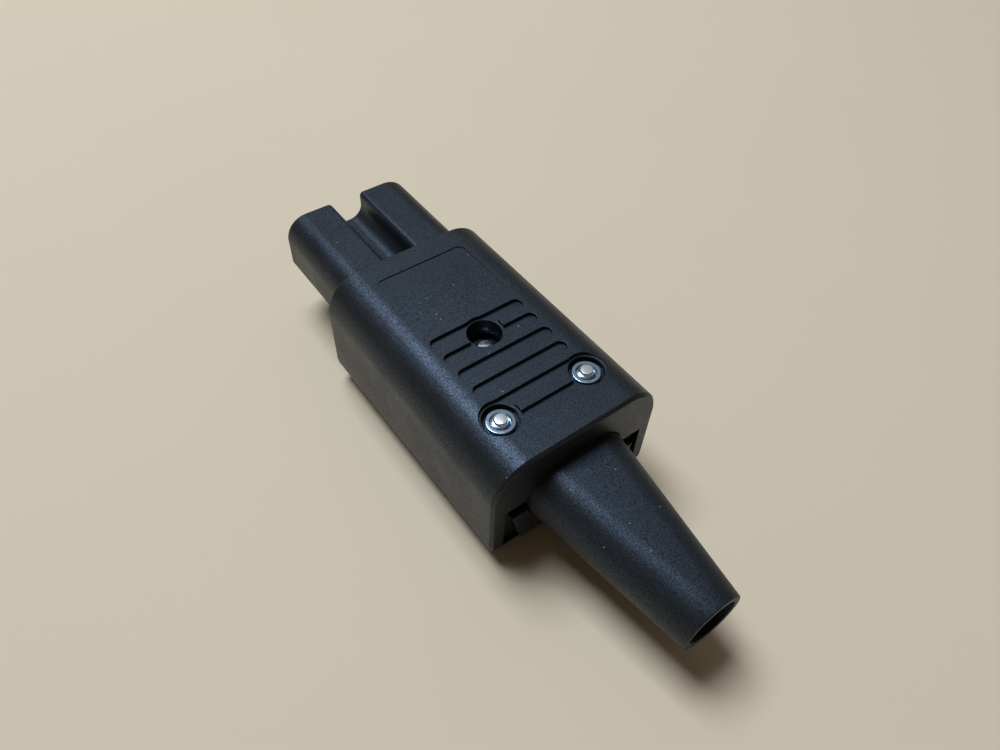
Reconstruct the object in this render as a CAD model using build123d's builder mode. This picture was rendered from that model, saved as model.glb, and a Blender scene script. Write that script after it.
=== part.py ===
"""Three-pole keyed cord connector for hot conditions, the kind that is wired with a screwdriver.

Millimetres. X runs along the connector, from the mating nose at -X to the cord boot at +X,
Y runs across it and Z is up. The connector lies on its underside at Z = 0, keyway upwards,
and the origin is under the middle of the whole length.
"""

import os

from build123d import *

os.makedirs("parts", exist_ok=True)

# Housing, outside
shell_length = 45.0
shell_width = 29.8
shell_height = 21.6
shell_top_radius = 6.2
shell_bottom_radius = 4.8
shell_end_radius = 4.2
shell_edge = 0.45
parting_height = 1.6

# Housing, inside
side_wall = 2.0
end_wall = 2.0
roof_wall = 1.8
floor_thickness = 2.6
joint_gap = 0.1
seat_gap = 0.05

# Mating nose and its keyway
nose_width = 24.0
nose_height = 16.0
nose_reach = 20.3
nose_drop = 2.2
nose_corner_radius = 4.1
nose_chamfer = 6.9
nose_front_edge = 0.5
keyway_width = 5.5
keyway_depth = 4.9
keyway_bottom_radius = 2.4
keyway_lip_round = 0.9

# Contacts behind the face, for flat pins of 4 x 2 mm
pole_spacing = 14.0
pole_depth = 6.0
earth_offset = 4.0
pin_slot_width = 2.6
pin_slot_height = 4.6
pin_slot_wall = 2.0
pin_slot_lead = 0.4
chamber_width = 3.6
chamber_height = 5.4
contact_sheet = 0.4
contact_height = 4.4
contact_length = 22.6
contact_mouth = 2.6
contact_pinch = 1.8
contact_body = 2.3
contact_bend = 0.6
contact_flare = 1.4
contact_waist = 5.0

# Terminals
terminal_length = 8.0
terminal_width = 4.8
terminal_height = 6.0
terminal_edge = 0.3
wire_hole = 3.2
wire_hole_depth = 6.4
wire_hole_floor = 0.8
terminal_screw_place = 4.6
terminal_screw_bore = 3.0
terminal_screw_shank = 2.9
terminal_screw_length = 3.6
terminal_screw_stand = 0.6
terminal_head = 4.2
terminal_head_height = 1.5

# Contact carrier behind the nose
flange_thickness = 2.0
carrier_width = 22.8
carrier_gap = 0.6
carrier_floor = 1.2
pocket_clearance = 0.1
pocket_wall = 1.2
wire_trough = 4.0

# Top of the housing
groove_count = 6
groove_pitch = 3.585
groove_width = 2.1
groove_length = 16.55
groove_depth = 0.6
first_groove_lead = 1.8
field_start = 4.4
field_gap = 1.4
field_width = 16.5
field_depth = 0.18
field_corner = 1.3

# Assembly screws and their threaded bushes
rear_screw_inset = 8.15
rear_screw_margin = 7.18
front_screw_to_clamp = 7.4
screw_shank = 2.5
screw_hole = 2.9
screw_tip = 1.75
screw_tip_cone = 0.6
screw_tip_stand = 0.6
screw_head = 4.8
screw_head_height = 1.8
screw_slot = 0.9
slot_depth = 0.8
head_pocket = 5.2
front_head_seat = 2.0
bush_flange = 4.35
bush_flange_height = 0.7
bush_barrel = 3.5
bush_length = 7.0
bush_bore = 2.6
bush_clearance = 0.05
bush_end_gap = 0.7
rear_bush_depth = 0.9
front_bush_depth = 3.9
well = 5.4
well_ledge = 6.15
rear_boss = 7.2
front_boss = 7.6

# Cord clamp
clamp_to_rear_screw = 7.0
clamp_width = 5.0
clamp_thickness = 1.8
clamp_foot = 5.2
clamp_foot_height = 9.4
clamp_screw_shank = 2.6
clamp_screw_hole = 2.7
clamp_screw_length = 7.0
clamp_head = 4.6
clamp_head_height = 1.6
clamp_head_gap = 0.6
saddle_web = 2.0

# Cord boot
boot_reach = 27.3
boot_base_width = 17.0
boot_base_height = 11.3
boot_base_top = 16.9
boot_corner_radius = 4.9
boot_tip = 9.9
boot_bore = 7.8
boot_axis_height = 10.5
boot_flange_width = 21.0
boot_flange_height = 14.8
boot_flange_thickness = 1.7
boot_flange_radius = 5.0
boot_rib = 1.4

# Rear wall of the lower cover, with the block beside and below the boot
rear_window_width = 25.2
rear_window_top = 12.0
rear_web = 0.9
rear_block_width = 22.9
rear_block_foot = 19.0
rear_block_bottom = 2.9
rear_block_top = 9.9
rear_block_stand = 0.3

# Places that follow from the sizes above
overall_length = nose_reach + shell_length + boot_reach
nose_front = -overall_length / 2
shell_front = nose_front + nose_reach
shell_rear = shell_front + shell_length
boot_end = shell_rear + boot_reach
shell_middle = (shell_front + shell_rear) / 2
roof_under = shell_height - roof_wall
inner_width = shell_width - 2 * side_wall
nose_top = shell_height - nose_drop
nose_bottom = nose_top - nose_height
nose_shoulder = nose_bottom + nose_chamfer
pole_height = nose_top - pole_depth
flange_front = shell_front + end_wall
flange_back = flange_front + flange_thickness
cord_radius = boot_bore / 2
rear_screw_x = shell_rear - rear_screw_inset
rear_screw_spread = shell_width / 2 - rear_screw_margin
clamp_x = rear_screw_x - clamp_to_rear_screw
clamp_screw_spread = cord_radius + clamp_thickness + clamp_head / 2 + clamp_head_gap
front_screw_x = clamp_x - front_screw_to_clamp
carrier_back = front_screw_x - front_boss / 2 - carrier_gap
carrier_top = pole_height + terminal_height / 2
contact_back = flange_back + pocket_wall
contact_front = contact_back - contact_length
terminal_back = contact_back + terminal_length
terminal_screw_x = contact_back + terminal_screw_place
boot_base_middle = boot_base_top - boot_base_height / 2
boot_flange_back = shell_rear - end_wall
rear_wall_width = rear_window_width - 2 * joint_gap
boot_flange_front = boot_flange_back - boot_flange_thickness
front_bush_top = shell_height - front_bush_depth
rear_bush_top = shell_height - rear_bush_depth
rear_head_seat = front_head_seat + rear_bush_top - front_bush_top
pillar_top = front_bush_top - bush_length - bush_end_gap
screw_length = front_bush_top + screw_tip_stand - front_head_seat
clamp_feet = [(clamp_x, clamp_screw_spread), (clamp_x, -clamp_screw_spread)]
clamp_top = clamp_foot_height + clamp_thickness
front_screw = (front_screw_x, 0.0)
rear_left_screw = (rear_screw_x, rear_screw_spread)
rear_right_screw = (rear_screw_x, -rear_screw_spread)
first_groove_x = front_screw_x - first_groove_lead
field_front = shell_front + field_start
field_length = first_groove_x - groove_width / 2 - field_gap - field_front

# Poles: name, place across, height of the middle of the pin
poles = [
    ("line", pole_spacing / 2, pole_height),
    ("neutral", -pole_spacing / 2, pole_height),
    ("earth", 0.0, pole_height - earth_offset),
]

# Assembly screws: name, place, seat of the head, top of the bush, boss round it
fixings = [
    ("front", front_screw, front_head_seat, front_bush_top, front_boss),
    ("rear_left", rear_left_screw, rear_head_seat, rear_bush_top, rear_boss),
    ("rear_right", rear_right_screw, rear_head_seat, rear_bush_top, rear_boss),
]


def nose_outline(clearance=0.0):
    """Face of the nose without its keyway: two round corners above, two chamfers below."""
    with BuildSketch() as outline:
        with Locations((0, (nose_top + nose_bottom) / 2)):
            Rectangle(nose_width, nose_height)
        chamfer(outline.vertices().group_by(Axis.Y)[0], nose_chamfer)
        fillet(outline.vertices().group_by(Axis.Y)[-1], nose_corner_radius)
        if clearance:
            offset(amount=clearance, kind=Kind.INTERSECTION)
    return outline.sketch


def boot_outline(clearance=0.0):
    """Boot where it leaves the housing: a rounded rectangle."""
    with BuildSketch() as outline:
        with Locations((0, boot_base_middle)):
            RectangleRounded(
                boot_base_width + 2 * clearance,
                boot_base_height + 2 * clearance,
                boot_corner_radius + clearance,
            )
    return outline.sketch


# Outer form of the closed housing, which the hood and the lower cover share
with BuildPart() as housing_form:
    with BuildSketch(Plane.YZ.offset(shell_front)) as housing_section:
        with Locations((0, shell_height / 2)):
            Rectangle(shell_width, shell_height)
        fillet(housing_section.vertices().group_by(Axis.Y)[-1], shell_top_radius)
        fillet(housing_section.vertices().group_by(Axis.Y)[0], shell_bottom_radius)
    extrude(amount=shell_length)
    end_faces = housing_form.faces().sort_by(Axis.X)
    chamfer(end_faces[0].edges() + end_faces[-1].edges(), shell_edge)
    with BuildSketch(Plane.XZ) as housing_profile:
        with Locations((shell_middle, shell_height / 2)):
            Rectangle(shell_length, shell_height)
        fillet(housing_profile.vertices().group_by(Axis.Y)[0], shell_end_radius)
    extrude(amount=shell_width, both=True, mode=Mode.INTERSECT)

# Hood: the deep upper shell, with the grip grooves, the bare field and the three wells
with BuildPart() as hood:
    add(housing_form.part)
    split(bisect_by=Plane.XY.offset(parting_height), keep=Keep.TOP)
    # Room inside, open below
    with BuildSketch(Plane.YZ.offset(shell_front + end_wall)) as room:
        with Locations((0, roof_under / 2)):
            Rectangle(inner_width, roof_under)
        fillet(room.vertices().group_by(Axis.Y)[-1], shell_top_radius - side_wall)
    extrude(amount=shell_length - 2 * end_wall, mode=Mode.SUBTRACT)
    # Opening for the nose, straight down from its shoulders so that the hood lifts off
    with BuildSketch(Plane.YZ.offset(shell_front)):
        add(nose_outline(joint_gap))
        with Locations((0, nose_shoulder / 2)):
            Rectangle(nose_width + 2 * joint_gap, nose_shoulder)
    extrude(amount=end_wall, mode=Mode.SUBTRACT)
    # Opening for the boot, and window for the rear block of the lower cover
    with BuildSketch(Plane.YZ.offset(boot_flange_back)):
        add(boot_outline(joint_gap))
        with Locations((0, rear_window_top / 2)):
            Rectangle(rear_window_width, rear_window_top)
    extrude(amount=end_wall, mode=Mode.SUBTRACT)
    # Bosses for the bushes, hanging from the roof
    with BuildSketch(Plane.XY.offset(pillar_top)):
        for name, place, head_seat, bush_top, boss in fixings:
            with Locations(place):
                Circle(boss / 2)
    extrude(amount=roof_under - pillar_top + seat_gap)
    # Grip grooves across the top
    with BuildSketch(Plane.XY.offset(shell_height)):
        for i in range(groove_count):
            with Locations((first_groove_x + i * groove_pitch, 0)):
                SlotOverall(groove_length, groove_width, rotation=90)
        # Ledge round each well, level with the floor of the grooves
        for name, place, head_seat, bush_top, boss in fixings:
            with Locations(place):
                Circle(well_ledge / 2)
    extrude(amount=-groove_depth, mode=Mode.SUBTRACT)
    # Shallow bare field between the nose and the grooves
    with BuildSketch(Plane.XY.offset(shell_height)):
        with Locations((field_front + field_length / 2, 0)):
            RectangleRounded(field_length, field_width, field_corner)
    extrude(amount=-field_depth, mode=Mode.SUBTRACT)
    # Wells, and below them the bores for the barrels of the bushes
    for name, place, head_seat, bush_top, boss in fixings:
        with Locations((*place, shell_height)):
            CounterBoreHole(
                radius=bush_barrel / 2 + bush_clearance,
                counter_bore_radius=well / 2,
                counter_bore_depth=shell_height - bush_top + bush_flange_height,
                depth=shell_height - pillar_top,
            )
hood.part.label = "hood"
export_step(hood.part, "parts/hood.step")

# Lower cover: floor, wall under the nose, rear block under the boot, pillars and cord saddle
with BuildPart() as lower_cover:
    with BuildSketch(Plane.XY):
        with Locations((shell_middle, 0)):
            Rectangle(shell_length, shell_width)
    extrude(amount=parting_height)
    # Front wall, which fills the hood's opening beside the chamfers of the nose
    with BuildSketch(Plane.YZ.offset(shell_front)):
        with Locations((0, nose_shoulder / 2 - pocket_wall)):
            Rectangle(nose_width, nose_shoulder)
        add(nose_outline(joint_gap), mode=Mode.SUBTRACT)
    extrude(amount=end_wall)
    # Rear wall that fills the hood's window: a thin web, and a rim below in line with the hood
    with BuildSketch(Plane.YZ.offset(boot_flange_back)):
        with Locations((0, (rear_window_top - joint_gap) / 2)):
            Rectangle(rear_wall_width, rear_window_top - joint_gap)
    extrude(amount=rear_web)
    with BuildSketch(Plane.YZ.offset(boot_flange_back)):
        with Locations((0, rear_block_bottom / 2)):
            Rectangle(rear_wall_width, rear_block_bottom)
    extrude(amount=end_wall)
    add(housing_form.part, mode=Mode.INTERSECT)
    # Block on the web, narrower at its foot, cut out round the boot
    with BuildSketch(Plane.YZ.offset(boot_flange_back)):
        Polygon(
            (rear_block_foot / 2, rear_block_bottom),
            (rear_block_width / 2, rear_block_top),
            (-rear_block_width / 2, rear_block_top),
            (-rear_block_foot / 2, rear_block_bottom),
            align=None,
        )
    extrude(amount=end_wall + rear_block_stand)
    chamfer(lower_cover.faces().sort_by(Axis.X)[-1].edges(), rear_block_stand / 2)
    with BuildSketch(Plane.YZ.offset(boot_flange_back)):
        add(boot_outline(joint_gap))
    extrude(amount=2 * end_wall, mode=Mode.SUBTRACT)
    # Inner floor, which centres the cover inside the hood
    with BuildSketch(Plane.XY.offset(parting_height)):
        with Locations((shell_middle, 0)):
            Rectangle(shell_length - 2 * end_wall, rear_block_foot)
            Rectangle(shell_length - 2 * end_wall - 2 * joint_gap, inner_width - 2 * joint_gap)
    extrude(amount=floor_thickness - parting_height)
    # Pillars under the bosses of the hood
    with BuildSketch(Plane.XY.offset(parting_height)):
        for name, place, head_seat, bush_top, boss in fixings:
            with Locations(place):
                Circle(boss / 2)
    extrude(amount=pillar_top - parting_height)
    # Saddle for the cord: two bosses for the clamp's screws and a web between them
    with BuildSketch(Plane.XY.offset(parting_height)):
        with Locations(*clamp_feet):
            Circle(clamp_foot / 2)
        with Locations((clamp_x, 0)):
            Rectangle(saddle_web, 2 * clamp_screw_spread)
    extrude(amount=clamp_foot_height - parting_height)
    # Rib in front of the boot's flange
    with BuildSketch(Plane.XY.offset(parting_height)):
        with Locations((boot_flange_front - boot_rib / 2, 0)):
            Rectangle(boot_rib, boot_flange_width)
    extrude(amount=boot_base_middle - cord_radius - parting_height)
    # The cord's path through the saddle and over the rib
    with BuildSketch(Plane.YZ.offset(clamp_x - clamp_width / 2)):
        with Locations((0, boot_axis_height)):
            Circle(cord_radius)
    extrude(amount=boot_flange_back - clamp_x + clamp_width / 2, mode=Mode.SUBTRACT)
    # Screw holes: through the pillars from below, blind in the bosses of the saddle
    for name, place, head_seat, bush_top, boss in fixings:
        with BuildSketch(Plane.XY):
            with Locations(place):
                Circle(head_pocket / 2)
        extrude(amount=head_seat, mode=Mode.SUBTRACT)
        with BuildSketch(Plane.XY):
            with Locations(place):
                Circle(screw_hole / 2)
        extrude(amount=pillar_top, mode=Mode.SUBTRACT)
    with BuildSketch(Plane.XY.offset(clamp_foot_height)):
        with Locations(*clamp_feet):
            Circle(clamp_screw_hole / 2)
    extrude(amount=clamp_thickness - clamp_screw_length - seat_gap, mode=Mode.SUBTRACT)
lower_cover.part.label = "lower_cover"
export_step(lower_cover.part, "parts/lower_cover.step")

# Contact carrier: the nose with its keyway, a flange behind the hood's wall, terminal pockets
with BuildPart() as carrier:
    with BuildSketch(Plane.YZ.offset(nose_front)) as nose_face:
        add(nose_outline())
        with Locations((0, nose_top - keyway_depth / 2)):
            Rectangle(keyway_width, keyway_depth, mode=Mode.SUBTRACT)
        keyway_corners = nose_face.vertices().filter_by_position(
            Axis.X, -keyway_width / 2 - seat_gap, keyway_width / 2 + seat_gap
        )
        fillet(keyway_corners.group_by(Axis.Y)[0], keyway_bottom_radius)
        keyway_lips = nose_face.vertices().filter_by_position(
            Axis.X, -keyway_width / 2 - seat_gap, keyway_width / 2 + seat_gap
        )
        fillet(keyway_lips.group_by(Axis.Y)[-1], keyway_lip_round)
    extrude(amount=nose_reach)
    chamfer(carrier.faces().sort_by(Axis.X)[0].edges(), nose_front_edge)
    # Neck of the nose in the wall of the housing, where the keyway ends
    with BuildSketch(Plane.YZ.offset(shell_front)):
        add(nose_outline())
    extrude(amount=end_wall)
    # Flange that fills the section of the housing
    with BuildSketch(Plane.YZ.offset(flange_front)) as flange:
        with Locations((0, (roof_under + floor_thickness) / 2)):
            Rectangle(inner_width - 2 * joint_gap, roof_under - floor_thickness - 2 * seat_gap)
        fillet(flange.vertices().group_by(Axis.Y)[-1], shell_top_radius - side_wall)
    extrude(amount=flange_thickness)
    # Block behind the flange, deeper in the middle for the earth terminal
    with BuildSketch(Plane.YZ.offset(flange_back)):
        for name, across, height in poles:
            block_floor = height - terminal_height / 2 - carrier_floor
            with Locations((across, (carrier_top + block_floor) / 2)):
                Rectangle(carrier_width - pole_spacing, carrier_top - block_floor)
    extrude(amount=carrier_back - flange_back)
    for name, across, height in poles:
        pocket_floor = height - terminal_height / 2
        # Pocket for the terminal and, behind it, the trough for the wire, both open above
        with BuildSketch(Plane.XY.offset(pocket_floor)):
            with Locations((contact_back + terminal_length / 2, across)):
                Rectangle(
                    terminal_length + 2 * pocket_clearance, terminal_width + 2 * pocket_clearance
                )
        extrude(amount=terminal_height + earth_offset, mode=Mode.SUBTRACT)
        with BuildSketch(Plane.XY.offset(pocket_floor + wire_hole_floor / 2)):
            with Locations(((terminal_back + carrier_back) / 2, across)):
                Rectangle(carrier_back - terminal_back, wire_trough)
        extrude(amount=terminal_height + earth_offset, mode=Mode.SUBTRACT)
        # Chamber of the contact and, in front of it, the slot for the pin
        with BuildSketch(Plane.YZ.offset(nose_front + pin_slot_wall)):
            with Locations((across, height)):
                Rectangle(chamber_width, chamber_height)
        extrude(amount=contact_back - nose_front - pin_slot_wall, mode=Mode.SUBTRACT)
        with BuildSketch(Plane.YZ.offset(nose_front)):
            with Locations((across, height)):
                Rectangle(pin_slot_width, pin_slot_height)
        extrude(amount=pin_slot_wall, mode=Mode.SUBTRACT)
    # Lead-in round the mouths of the pin slots
    front_face = carrier.faces().sort_by(Axis.X)[0]
    chamfer([edge for wire in front_face.inner_wires() for edge in wire.edges()], pin_slot_lead)
carrier.part.label = "contact_carrier"
export_step(carrier.part, "parts/contact_carrier.step")

# Spring contact, terminal and terminal screw of every pole
for name, across, height in poles:
    with BuildPart() as contact:
        with BuildSketch(Plane.XY.offset(height - contact_height / 2)):
            with BuildLine():
                pinch_x = contact_front + contact_flare
                waist_x = contact_front + contact_waist
                web_x = contact_back - contact_sheet
                Polyline(
                    (contact_front, across + contact_mouth / 2),
                    (pinch_x, across + contact_pinch / 2),
                    (waist_x, across + contact_body / 2),
                    (web_x, across + contact_body / 2),
                    (web_x, across - contact_body / 2),
                    (waist_x, across - contact_body / 2),
                    (pinch_x, across - contact_pinch / 2),
                    (contact_front, across - contact_mouth / 2),
                )
                offset(amount=contact_sheet, side=Side.LEFT, kind=Kind.INTERSECTION)
            make_face()
        extrude(amount=contact_height)
        fillet(contact.edges().filter_by(Axis.Z).group_by(Axis.X)[-1], contact_bend)
    contact.part.label = f"contact_{name}"
    export_step(contact.part, f"parts/contact_{name}.step")

    terminal_floor = height - terminal_height / 2
    terminal_top = height + terminal_height / 2
    wire_height = terminal_floor + wire_hole_floor + wire_hole / 2
    with BuildPart() as terminal:
        with BuildSketch(Plane.XY.offset(terminal_floor)):
            with Locations((contact_back + terminal_length / 2, across)):
                Rectangle(terminal_length, terminal_width)
        extrude(amount=terminal_height)
        chamfer(terminal.edges().filter_by(Axis.X), terminal_edge)
        with BuildSketch(Plane.YZ.offset(terminal_back)):
            with Locations((across, wire_height)):
                Circle(wire_hole / 2)
        extrude(amount=-wire_hole_depth, mode=Mode.SUBTRACT)
        with BuildSketch(Plane.XY.offset(terminal_top)):
            with Locations((terminal_screw_x, across)):
                Circle(terminal_screw_bore / 2)
        extrude(amount=wire_height - terminal_top, mode=Mode.SUBTRACT)
    terminal.part.label = f"terminal_{name}"
    export_step(terminal.part, f"parts/terminal_{name}.step")

    terminal_screw_seat = terminal_top + terminal_screw_stand
    with BuildPart() as terminal_screw:
        with BuildSketch(Plane.XY.offset(terminal_screw_seat)):
            with Locations((terminal_screw_x, across)):
                Circle(terminal_head / 2)
        extrude(amount=terminal_head_height)
        with BuildSketch(Plane.XY.offset(terminal_screw_seat + terminal_head_height)):
            with Locations((terminal_screw_x, across)):
                Rectangle(terminal_head, screw_slot)
        extrude(amount=-slot_depth, mode=Mode.SUBTRACT)
        with BuildSketch(Plane.XY.offset(terminal_screw_seat)):
            with Locations((terminal_screw_x, across)):
                Circle(terminal_screw_shank / 2)
        extrude(amount=-terminal_screw_length)
    terminal_screw.part.label = f"terminal_screw_{name}"
    export_step(terminal_screw.part, f"parts/terminal_screw_{name}.step")

# Cord clamp: a bridge over the cord on two flat feet
with BuildPart() as cord_clamp:
    with BuildSketch(Plane.YZ.offset(clamp_x - clamp_width / 2)):
        with Locations((0, clamp_foot_height + clamp_thickness / 2)):
            Rectangle(2 * clamp_screw_spread + clamp_foot, clamp_thickness)
        with Locations((0, boot_axis_height)):
            Circle(cord_radius + clamp_thickness)
            Circle(cord_radius, mode=Mode.SUBTRACT)
        with Locations((0, clamp_foot_height - shell_height / 2)):
            Rectangle(shell_width, shell_height, mode=Mode.SUBTRACT)
    extrude(amount=clamp_width)
    with BuildSketch(Plane.XY.offset(clamp_foot_height)):
        with Locations(*clamp_feet):
            Circle(clamp_screw_hole / 2)
    extrude(amount=clamp_thickness, mode=Mode.SUBTRACT)
cord_clamp.part.label = "cord_clamp"
export_step(cord_clamp.part, "parts/cord_clamp.step")

for name, place in zip(("left", "right"), clamp_feet):
    with BuildPart() as clamp_screw:
        with BuildSketch(Plane.XY.offset(clamp_top)):
            with Locations(place):
                Circle(clamp_head / 2)
        extrude(amount=clamp_head_height)
        with BuildSketch(Plane.XY.offset(clamp_top + clamp_head_height)):
            with Locations(place):
                Rectangle(screw_slot, clamp_head)
        extrude(amount=-slot_depth, mode=Mode.SUBTRACT)
        with BuildSketch(Plane.XY.offset(clamp_top)):
            with Locations(place):
                Circle(clamp_screw_shank / 2)
        extrude(amount=-clamp_screw_length)
    clamp_screw.part.label = f"cord_clamp_screw_{name}"
    export_step(clamp_screw.part, f"parts/cord_clamp_screw_{name}.step")

# Boot: flange inside the housing, neck through its wall, then the taper to the round tip
with BuildPart() as boot:
    with BuildSketch(Plane.YZ.offset(shell_rear)):
        add(boot_outline())
    with BuildSketch(Plane.YZ.offset(boot_end)):
        with Locations((0, boot_axis_height)):
            RectangleRounded(boot_tip, boot_tip, boot_corner_radius)
    loft(ruled=True)
    with BuildSketch(Plane.YZ.offset(boot_flange_back)):
        add(boot_outline())
    extrude(amount=end_wall)
    with BuildSketch(Plane.YZ.offset(boot_flange_front)):
        with Locations((0, boot_base_middle)):
            RectangleRounded(boot_flange_width, boot_flange_height, boot_flange_radius)
    extrude(amount=boot_flange_thickness)
    with BuildSketch(Plane.YZ.offset(boot_flange_front)):
        with Locations((0, boot_axis_height)):
            Circle(boot_bore / 2)
    extrude(amount=boot_end - boot_flange_front, mode=Mode.SUBTRACT)
boot.part.label = "boot"
export_step(boot.part, "parts/boot.step")

# Assembly screws, put in from below, and the bushes that they are driven into
for name, place, head_seat, bush_top, boss in fixings:
    with BuildPart() as housing_screw:
        with BuildSketch(Plane.XY.offset(head_seat)):
            with Locations(place):
                Circle(screw_head / 2)
        extrude(amount=-screw_head_height)
        with BuildSketch(Plane.XY.offset(head_seat - screw_head_height)):
            with Locations(place):
                Rectangle(screw_slot, screw_head)
        extrude(amount=slot_depth, mode=Mode.SUBTRACT)
        with BuildSketch(Plane.XY.offset(head_seat)):
            with Locations(place):
                Circle(screw_shank / 2)
        extrude(amount=screw_length)
        chamfer(
            housing_screw.edges().group_by(Axis.Z)[-1],
            length=screw_tip_cone,
            length2=(screw_shank - screw_tip) / 2,
            reference=housing_screw.faces().filter_by(GeomType.CYLINDER).sort_by(Axis.Z)[-1],
        )
    housing_screw.part.label = f"housing_screw_{name}"
    export_step(housing_screw.part, f"parts/housing_screw_{name}.step")

    with BuildPart() as bush:
        with BuildSketch(Plane.XY.offset(bush_top)):
            with Locations(place):
                Circle(bush_flange / 2)
        extrude(amount=-bush_flange_height)
        with BuildSketch(Plane.XY.offset(bush_top - bush_flange_height)):
            with Locations(place):
                Circle(bush_barrel / 2)
        extrude(amount=bush_flange_height - bush_length)
        with Locations((*place, bush_top)):
            Hole(radius=bush_bore / 2, depth=bush_length)
    bush.part.label = f"threaded_bush_{name}"
    export_step(bush.part, f"parts/threaded_bush_{name}.step")
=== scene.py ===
"""Looks of the keyed cord connector: finishes, rounded edges, turned fittings, light and camera.

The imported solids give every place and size. Sizes in the classes are millimetres, and
everything that reaches a mesh is metres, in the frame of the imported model: X from the
mating nose to the cord boot, Y across, Z up, resting on Z = 0.
"""

import logging
from collections.abc import Callable
from dataclasses import dataclass
from enum import Enum
from math import cos, pi, radians, sin

import bmesh
import bpy
from mathutils import Matrix, Vector
from mathutils.geometry import intersect_point_line

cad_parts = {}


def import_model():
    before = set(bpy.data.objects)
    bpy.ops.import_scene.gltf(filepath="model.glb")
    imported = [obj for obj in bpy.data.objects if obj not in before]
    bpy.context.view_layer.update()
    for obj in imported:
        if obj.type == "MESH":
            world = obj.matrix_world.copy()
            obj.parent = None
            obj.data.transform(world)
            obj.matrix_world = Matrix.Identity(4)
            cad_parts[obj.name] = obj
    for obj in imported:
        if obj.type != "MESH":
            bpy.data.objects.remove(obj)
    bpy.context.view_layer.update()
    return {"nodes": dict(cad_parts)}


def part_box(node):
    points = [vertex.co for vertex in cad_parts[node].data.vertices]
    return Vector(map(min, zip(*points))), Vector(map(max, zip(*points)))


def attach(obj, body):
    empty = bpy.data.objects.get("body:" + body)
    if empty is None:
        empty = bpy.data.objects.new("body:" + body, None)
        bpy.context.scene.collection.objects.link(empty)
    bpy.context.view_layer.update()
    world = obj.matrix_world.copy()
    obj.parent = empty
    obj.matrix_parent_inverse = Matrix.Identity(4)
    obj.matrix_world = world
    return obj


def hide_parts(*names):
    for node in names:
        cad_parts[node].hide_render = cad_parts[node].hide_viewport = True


LOG = logging.getLogger("connector")
MM = 0.001
BODY = "root"
SENSOR_WIDTH = 36.0
NEAREST_SEEN = 0.005

Colour = tuple[float, float, float]
Point = tuple[float, float]


class Slot(Enum):
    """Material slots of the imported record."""

    HOUSING = "housing_plastic"
    CARRIER = "carrier_plastic"
    BOOT = "boot_rubber"
    SCREW = "screw_steel"
    BUSH = "bush_metal"


class Facing(Enum):
    """Which way the axis of a ringed piece points."""

    UP = (0.0, 0.0, 0.0)
    ALONG = (pi, -pi / 2, 0.0)


class Graph:
    """Adds nodes to a tree and joins them, so that a finish or a rule reads as a formula."""

    def __init__(self, tree: bpy.types.NodeTree) -> None:
        """Keeps the tree that the nodes go into.

        Args:
            tree: A material's or a Geometry Nodes tree.
        """
        self.tree = tree

    def feed(self, socket: bpy.types.NodeSocket, value: object) -> None:
        """Links a socket, or sets its value.

        Args:
            socket: The input to feed.
            value: Another node's output, or a plain value.
        """
        if isinstance(value, bpy.types.NodeSocket):
            self.tree.links.new(value, socket)
        else:
            socket.default_value = value

    def add(
        self, kind: str, feeds: dict[str | int, object] | None = None, **settings: object
    ) -> bpy.types.Node:
        """Adds one node.

        Args:
            kind: The node's type name.
            feeds: What its inputs take, by name or by number.
            **settings: Properties of the node, such as its operation.

        Returns:
            The new node.
        """
        node = self.tree.nodes.new(kind)
        for name, value in settings.items():
            setattr(node, name, value)
        for key, value in (feeds or {}).items():
            self.feed(node.inputs[key], value)
        return node

    def math(self, operation: str, *values: object) -> bpy.types.NodeSocket:
        """Result of one arithmetic node.

        Args:
            operation: The operation's name.
            *values: Its operands.

        Returns:
            The output socket.
        """
        return self.add("ShaderNodeMath", dict(enumerate(values)), operation=operation).outputs[0]

    def blend(self, factor: object, first: object, second: object) -> bpy.types.NodeSocket:
        """Mix of two colours.

        Args:
            factor: Share of the second colour.
            first: First colour.
            second: Second colour.

        Returns:
            The output socket.
        """
        mix = self.add("ShaderNodeMix", data_type="RGBA")
        self.feed(mix.inputs[0], factor)
        self.feed(mix.inputs[6], first)
        self.feed(mix.inputs[7], second)
        return mix.outputs[2]

    def spread(
        self, value: object, low: float, high: float, to_low: float, to_high: float
    ) -> bpy.types.NodeSocket:
        """Maps one span of values to another, clamped.

        Args:
            value: What is mapped.
            low: Start of the span taken.
            high: End of the span taken.
            to_low: What the start becomes.
            to_high: What the end becomes.

        Returns:
            The output socket.
        """
        feeds = dict(enumerate((value, low, high, to_low, to_high)))
        return self.add("ShaderNodeMapRange", feeds).outputs[0]

    def noise(
        self, grain: float, detail: float, stretch: Colour = (1, 1, 1)
    ) -> bpy.types.NodeSocket:
        """Noise of a given grain on Object coordinates.

        Args:
            grain: Size of one grain, in millimetres.
            detail: Octaves of finer noise.
            stretch: How many times finer it is along each axis.

        Returns:
            The output socket.
        """
        place = self.add("ShaderNodeTexCoord").outputs["Object"]
        turned = self.add("ShaderNodeMapping", {"Vector": place, "Scale": stretch})
        feeds = {"Vector": turned.outputs[0], "Scale": 1 / (grain * MM), "Detail": detail}
        return self.add("ShaderNodeTexNoise", feeds).outputs[0]


def shader(name: str) -> tuple[bpy.types.Material, Graph, bpy.types.Node]:
    """Starts a material.

    Args:
        name: Name of the material.

    Returns:
        The material, its graph and its main shader node.
    """
    material = bpy.data.materials.new(name)
    material.use_nodes = True
    graph = Graph(material.node_tree)
    return material, graph, material.node_tree.nodes["Principled BSDF"]


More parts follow.
